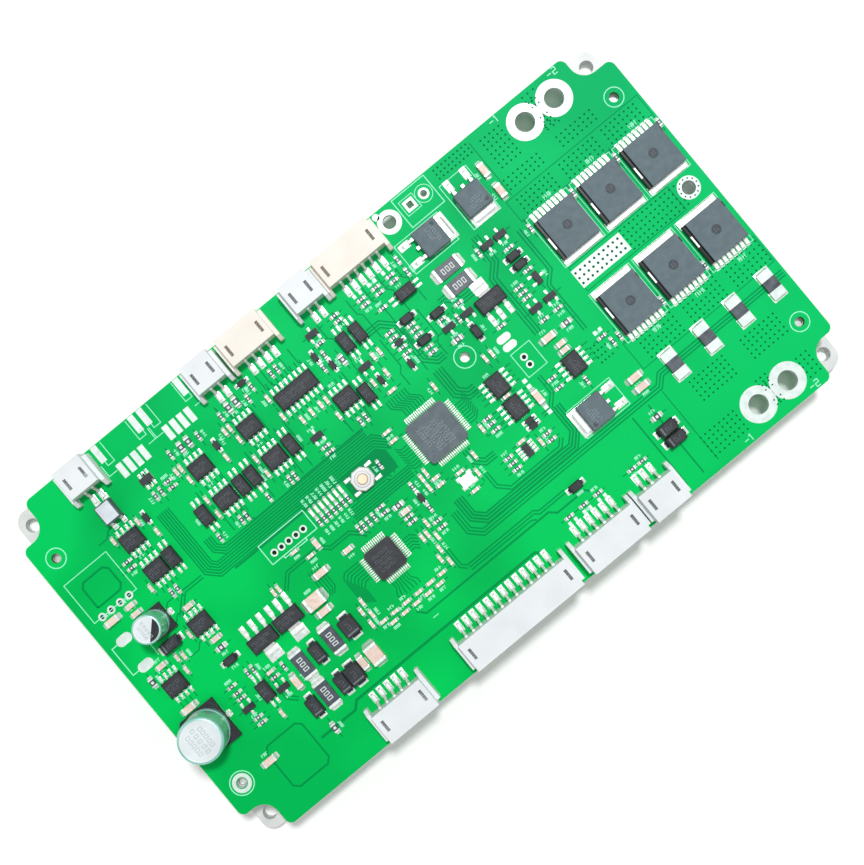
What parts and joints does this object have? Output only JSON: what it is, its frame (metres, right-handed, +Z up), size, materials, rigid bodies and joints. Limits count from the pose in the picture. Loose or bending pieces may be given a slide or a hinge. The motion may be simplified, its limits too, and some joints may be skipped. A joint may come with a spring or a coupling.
{
  "type": "battery management board",
  "caption": "Battery management circuit board on an aluminium base plate, with side-entry connectors, power transistors, shunts and a push switch whose button moves.",
  "frame": {"origin": "centre of the base plate's underside", "axes": "+X along the long side, towards the power transistors; +Y to the rear edge; +Z up from the plate to the parts"},
  "size_m": [0.165, 0.09, 0.0218],
  "materials": {
    "green_board": "glossy solder mask over copper and glass-fibre laminate",
    "bare_aluminium": "satin, blanked and drilled",
    "plated_steel": "nickel plated",
    "silicone_pad": "matt silicone",
    "white_plastic": "moulded nylon",
    "cream_plastic": "moulded nylon",
    "peach_plastic": "smooth moulding",
    "tinned_metal": "tin plated",
    "black_moulding": "fine moulded epoxy",
    "grey_moulding": "fine moulded epoxy",
    "resistor_body": "glazed ceramic chip with tinned ends",
    "capacitor_body": "fired ceramic chip with tinned ends",
    "shunt_metal": "tinned ends and dark resistance strip",
    "clear_white_plastic": "clear resin over a white base",
    "can_aluminium": "satin drawn can"
  },
  "bodies": {
    "board": {"base_plate": "bare_aluminium", "board_spacers": "plated_steel", "cell_monitor": "black_moulding", "ceramic_capacitors_large": "capacitor_body", "chip_16_pin": "black_moulding", "chip_capacitors": "capacitor_body", "chip_resistors": "resistor_body", "chips_8_pin": "black_moulding", "chips_small": "black_moulding", "circuit_board": "green_board", "connector_front_13_way_contacts": "tinned_metal", "connector_front_13_way_housing": "white_plastic", "connector_front_3_way_contacts": "tinned_metal", "connector_front_3_way_housing": "white_plastic", "connector_front_5_way_contacts": "tinned_metal", "connector_front_5_way_housing": "white_plastic", "connector_front_6_way_contacts": "tinned_metal", "connector_front_6_way_housing": "white_plastic", "connector_rear_2_way_left_contacts": "tinned_metal", "connector_rear_2_way_left_housing": "white_plastic", "connector_rear_2_way_middle_contacts": "tinned_metal", "connector_rear_2_way_middle_housing": "white_plastic", "connector_rear_2_way_right_contacts": "tinned_metal", "connector_rear_2_way_right_housing": "white_plastic", "connector_rear_4_way_contacts": "tinned_metal", "connector_rear_4_way_housing": "cream_plastic", "connector_rear_6_way_contacts": "tinned_metal", "connector_rear_6_way_housing": "white_plastic", "coupler_large": "grey_moulding", "crystal": "tinned_metal", "current_shunts": "shunt_metal", "diodes_large": "black_moulding", "diodes_small": "black_moulding", "electrolytic_large_base": "black_moulding", "electrolytic_large_can": "can_aluminium", "electrolytic_small_base": "black_moulding", "electrolytic_small_can": "can_aluminium", "heat_pads": "silicone_pad", "light_diode_resistors": "resistor_body", "light_diodes": "clear_white_plastic", "microcontroller": "black_moulding", "optocouplers": "black_moulding", "plate_screws": "plated_steel", "power_resistors": "resistor_body", "power_transistor_1": "black_moulding", "power_transistor_2": "black_moulding", "power_transistor_3": "black_moulding", "power_transistor_4": "black_moulding", "power_transistor_5": "black_moulding", "power_transistor_6": "black_moulding", "regulator_1": "black_moulding", "regulator_2": "black_moulding", "regulator_3": "black_moulding", "small_transistors": "black_moulding", "switch_housing": "cream_plastic", "tab_transistor_1": "black_moulding", "tab_transistor_2": "black_moulding", "tab_transistor_3": "black_moulding"},
    "button": {"switch_button": "peach_plastic"}
  },
  "joints": [
    {"name": "button_press", "type": "slide", "parent": "board", "child": "button", "axis": [0, 0, -1], "range_m": [0, 0.00025], "stiffness_N_per_m": 400, "springref_m": -0.0001}
  ]
}
